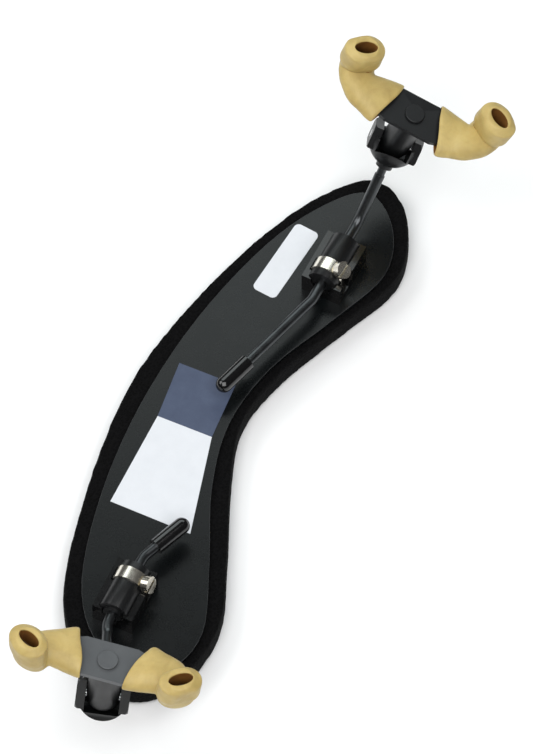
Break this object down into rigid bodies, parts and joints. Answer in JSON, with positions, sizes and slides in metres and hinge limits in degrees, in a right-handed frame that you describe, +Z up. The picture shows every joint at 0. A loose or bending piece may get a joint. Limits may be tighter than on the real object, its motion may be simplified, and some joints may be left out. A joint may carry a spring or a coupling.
{
  "type": "violin shoulder rest",
  "caption": "Crescent foam-backed shoulder rest with bent steel legs in turning clamps and tilting, swivelling forks with latex grips.",
  "frame": {"origin": "centre of the pad's flat underside, on the surface it rests on", "axes": "+X along the crescent's chord to the short leg, +Y to the convex side, +Z up to the instrument"},
  "size_m": [0.2839, 0.1009, 0.0974],
  "materials": {
    "foam": "matte open-cell sponge",
    "plate_paint": "satin",
    "label_dark": "matte printed film, blank",
    "label_light": "matte printed film, blank",
    "black_gloss": "gloss",
    "black_satin": "satin",
    "nickel": "nickel plated brass, polished",
    "zinc": "zinc plated",
    "rod_steel": "dark oxide, polished",
    "vinyl": "glossy dipped vinyl",
    "fork_grey": "satin grey coat, worn",
    "fork_black": "satin black coat",
    "latex": "pale amber latex, satin"
  },
  "bodies": {
    "base": {"foam_pad": "foam", "base_plate": "plate_paint", "label_dark": "label_dark", "label_light": "label_light", "label_small": "label_light", "clamp_block_left": "black_gloss", "block_screws_left": "zinc", "clamp_block_right": "black_gloss", "block_screws_right": "zinc"},
    "barrel_left": {"clamp_barrel_left": "black_satin", "barrel_bush_left": "black_satin", "clamp_band_left": "nickel", "clamp_nut_left": "nickel"},
    "screw_left": {"clamp_screw_left": "nickel"},
    "rod_left": {"leg_rod_left": "rod_steel", "rod_cap_left": "vinyl"},
    "cup_left": {"yoke_cup_left": "black_satin", "tilt_pin_left": "zinc"},
    "hub_left": {"fork_hub_left": "black_satin"},
    "fork_left": {"fork_washer_left": "zinc", "fork_plate_left": "fork_grey", "fork_rivet_left": "fork_grey", "grip_tube_left_front": "latex", "grip_tube_left_back": "latex"},
    "barrel_right": {"clamp_barrel_right": "black_satin", "barrel_bush_right": "black_satin", "clamp_band_right": "nickel", "clamp_nut_right": "nickel"},
    "screw_right": {"clamp_screw_right": "nickel"},
    "rod_right": {"leg_rod_right": "rod_steel", "rod_cap_right": "vinyl"},
    "cup_right": {"yoke_cup_right": "black_satin", "tilt_pin_right": "zinc"},
    "hub_right": {"fork_hub_right": "black_satin"},
    "fork_right": {"fork_washer_right": "zinc", "fork_plate_right": "fork_black", "fork_rivet_right": "fork_black", "grip_tube_right_front": "latex", "grip_tube_right_back": "latex"}
  },
  "joints": [
    {"name": "barrel_turn_left", "type": "hinge", "parent": "base", "child": "barrel_left", "pos_m": [-0.078, -0.0125, 0.0216], "axis": [-0.9998, 0.0175, 0], "range_deg": [-25, 25]},
    {"name": "clamp_screw_turn_left", "type": "hinge", "parent": "barrel_left", "child": "screw_left", "pos_m": [-0.0735, -0.01258, 0.0216], "axis": [-0.0163, -0.9334, 0.3584], "range_deg": [0, 540]},
    {"name": "rod_slide_left", "type": "slide", "parent": "barrel_left", "child": "rod_left", "axis": [-0.9998, 0.0175, 0], "range_m": [-0.0016, 0.0027]},
    {"name": "cup_turn_left", "type": "hinge", "parent": "rod_left", "child": "cup_left", "pos_m": [-0.13214, -0.02899, 0.04711], "axis": [-0.5917, -0.2512, 0.766], "range_deg": [-45, 45]},
    {"name": "fork_tilt_left", "type": "hinge", "parent": "cup_left", "child": "hub_left", "pos_m": [-0.13214, -0.02899, 0.04711], "axis": [-0.3019, 0.9501, 0.0783], "range_deg": [-50, 16]},
    {"name": "fork_swivel_left", "type": "hinge", "parent": "hub_left", "child": "fork_left", "pos_m": [-0.13143, -0.0309, 0.07303], "axis": [0.0272, -0.0735, 0.9969], "continuous": true},
    {"name": "barrel_turn_right", "type": "hinge", "parent": "base", "child": "barrel_right", "pos_m": [0.0805, -0.026, 0.0216], "axis": [0.9986, -0.0523, 0], "range_deg": [-22, 25]},
    {"name": "clamp_screw_turn_right", "type": "hinge", "parent": "barrel_right", "child": "screw_right", "pos_m": [0.07601, -0.02576, 0.0216], "axis": [-0.0376, -0.7184, 0.6947], "range_deg": [0, 540]},
    {"name": "rod_slide_right", "type": "slide", "parent": "barrel_right", "child": "rod_right", "axis": [0.9986, -0.0523, 0], "range_m": [-0.0046, 0.0057]},
    {"name": "cup_turn_right", "type": "hinge", "parent": "rod_right", "child": "cup_right", "pos_m": [0.12275, -0.032, 0.04848], "axis": [0.6363, -0.1401, 0.7586], "range_deg": [-45, 45]},
    {"name": "fork_tilt_right", "type": "hinge", "parent": "cup_right", "child": "hub_right", "pos_m": [0.12275, -0.032, 0.04848], "axis": [0.1359, -0.9476, -0.289], "range_deg": [-50, 16]},
    {"name": "fork_swivel_right", "type": "hinge", "parent": "hub_right", "child": "fork_right", "pos_m": [0.12273, -0.03958, 0.07335], "axis": [-0.0006, -0.2918, 0.9565], "continuous": true}
  ]
}
